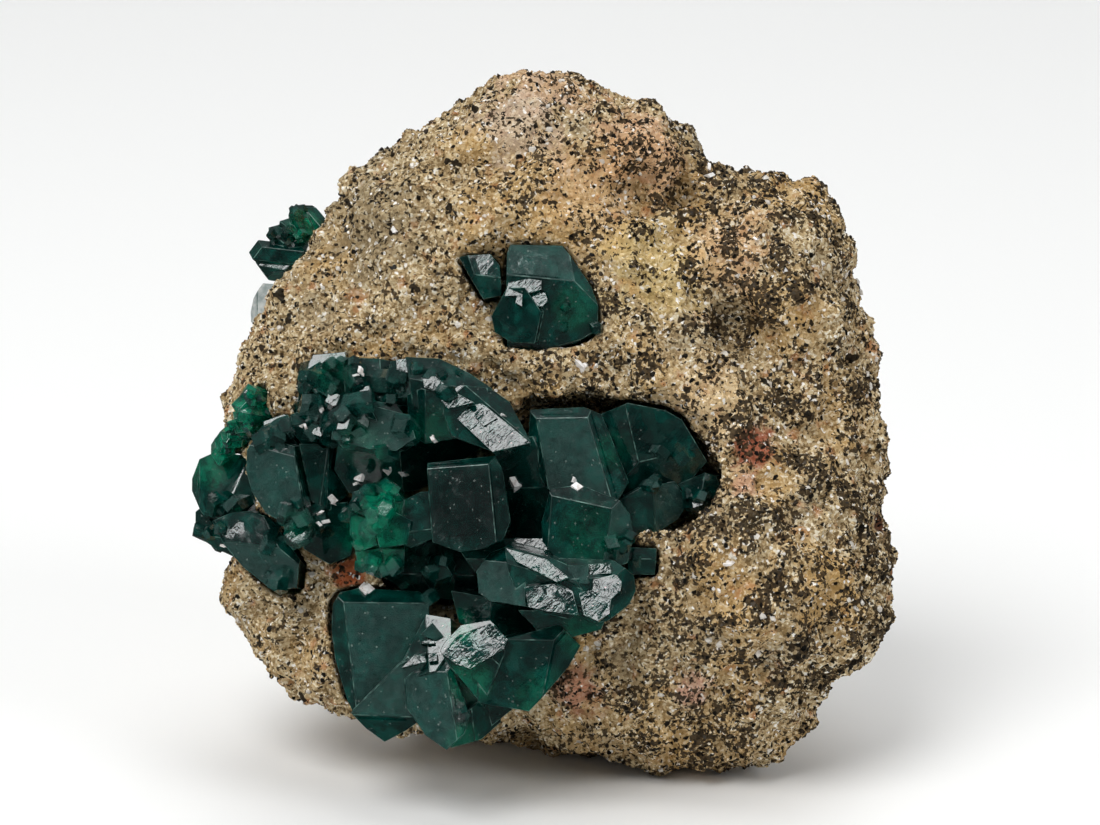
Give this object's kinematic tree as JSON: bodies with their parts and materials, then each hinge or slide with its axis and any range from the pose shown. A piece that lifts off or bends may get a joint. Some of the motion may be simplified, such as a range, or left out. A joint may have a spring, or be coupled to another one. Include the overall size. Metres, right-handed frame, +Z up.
{
  "type": "dioptase mineral specimen",
  "caption": "Clusters of deep green, glassy dioptase crystals grown together on a rough block of speckled tan sandstone that rests on a flat foot.",
  "frame": {"origin": "middle of the footprint, on the surface that the specimen rests on", "axes": "+Z up, the face with the crystals looks towards -Y and leans back, +X to the right of that face"},
  "size_m": [0.0584, 0.0426, 0.0565],
  "materials": {
    "sandstone": "rough, grainy, tan with dense black specks and reddish patches",
    "dioptase": "glassy deep blue-green crystal, clear in thin places",
    "dioptase_bright": "glassy bright green small crystals",
    "calcite": "pale grey translucent crystal"
  },
  "bodies": {
    "root": {"matrix": "sandstone", "crystals_main": "dioptase", "crystals_left": "dioptase", "crystals_left_edge": "dioptase", "crystal_top_large": "dioptase", "crystal_top_small": "dioptase", "crystals_edge": "dioptase", "druse_band": "dioptase_bright", "pale_blade": "calcite"}
  },
  "joints": []
}
